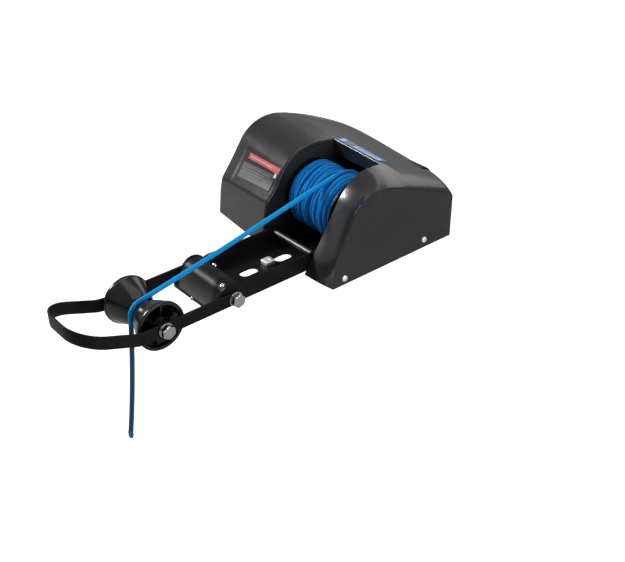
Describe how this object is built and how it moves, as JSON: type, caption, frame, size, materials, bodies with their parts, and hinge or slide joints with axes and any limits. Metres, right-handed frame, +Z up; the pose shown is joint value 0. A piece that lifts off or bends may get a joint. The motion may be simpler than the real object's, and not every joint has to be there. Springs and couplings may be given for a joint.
{
  "type": "anchor windlass",
  "caption": "Electric drum anchor windlass: moulded black housing, blue rope on its drum, slotted steel arm channel, hinged bow roller and bail loop",
  "frame": {"origin": "on the deck face, the underside of the base plate, straight below the drum axis and on the arm channel's centre line", "axes": "+X to port along the drum axis, -Y forward over the bow, +Z up from the deck"},
  "size_m": [0.264, 0.5305, 0.2745],
  "materials": {
    "housing_plastic": "semi-matte charcoal-black moulded plastic",
    "black_steel": "black powder-coated steel",
    "black_plastic": "black moulded nylon",
    "roller_plastic": "glossy black moulded roller",
    "stainless": "bright stainless fasteners",
    "steel": "machined steel",
    "bronze": "machined bronze",
    "cast_alloy": "die-cast alloy",
    "copper": "wound copper and laminations",
    "rope": "blue braided polyester rope"
  },
  "bodies": {
    "chassis": {"base_plate": "black_steel", "chassis_channel": "black_steel", "guide_rod": "black_steel", "drum_frame_port": "black_steel", "drum_frame_starboard": "black_steel", "motor_can": "black_steel", "housing_cover": "housing_plastic", "saddle_block": "black_plastic", "cable_gland": "black_plastic", "reversing_contactor": "black_plastic", "pivot_spacer_port": "black_plastic", "pivot_spacer_starboard": "black_plastic", "cover_screw_port_fore": "stainless", "cover_screw_port_aft": "stainless", "cover_screw_starboard_fore": "stainless", "cover_screw_starboard_aft": "stainless", "channel_bolt": "stainless", "saddle_screw_aft": "stainless", "saddle_screw_fore": "stainless", "saddle_screw_port": "stainless", "pivot_bolt": "stainless", "pivot_nut": "stainless", "pivot_washer_port": "stainless", "pivot_washer_starboard": "stainless", "drum_bearing_port": "bronze", "drum_bearing_starboard": "bronze", "gearbox_case": "cast_alloy", "gearbox_lid": "cast_alloy", "motor_end_bell": "cast_alloy", "motor_magnet_upper": "cast_alloy", "motor_magnet_lower": "cast_alloy", "rope_run": "rope", "rope_end_sleeve": "rope"},
    "drum": {"drum_core": "black_steel", "drum_flange_port": "black_steel", "drum_flange_starboard": "black_steel", "drum_shaft": "steel", "drum_gear": "steel", "shaft_collar": "steel", "rope_pack": "rope"},
    "layshaft": {"layshaft": "steel", "layshaft_pinion": "steel", "layshaft_gear": "bronze"},
    "motor_rotor": {"motor_shaft": "steel", "motor_pinion": "steel", "motor_armature": "copper", "motor_commutator": "copper"},
    "roller_arm": {"arm_strap": "black_steel", "axle_bolt": "stainless", "axle_nut": "stainless", "axle_washer_port": "stainless", "axle_washer_starboard": "stainless", "axle_spacer_port": "stainless", "axle_spacer_starboard": "stainless"},
    "bow_roller": {"roller_half_port": "roller_plastic", "roller_half_starboard": "roller_plastic"}
  },
  "joints": [
    {"name": "drum_spin", "type": "hinge", "parent": "chassis", "child": "drum", "pos_m": [0, 0, 0.056], "axis": [1, 0, 0], "continuous": true},
    {"name": "layshaft_spin", "type": "hinge", "parent": "chassis", "child": "layshaft", "pos_m": [0, 0.035, 0.0412], "axis": [1, 0, 0], "continuous": true},
    {"name": "motor_spin", "type": "hinge", "parent": "chassis", "child": "motor_rotor", "pos_m": [0, 0, 0.056], "axis": [1, 0, 0], "continuous": true},
    {"name": "arm_tilt", "type": "hinge", "parent": "chassis", "child": "roller_arm", "pos_m": [0, -0.193, 0.013], "axis": [-1, 0, 0], "range_deg": [0, 30], "deforming": ["rope_run"]},
    {"name": "roller_spin", "type": "hinge", "parent": "roller_arm", "child": "bow_roller", "pos_m": [0, -0.2905, 0.013], "axis": [1, 0, 0], "continuous": true}
  ],
  "couplings": [
    {"joint": "layshaft_spin", "follows": "drum_spin", "ratio": -4},
    {"joint": "motor_spin", "follows": "drum_spin", "ratio": 16}
  ]
}
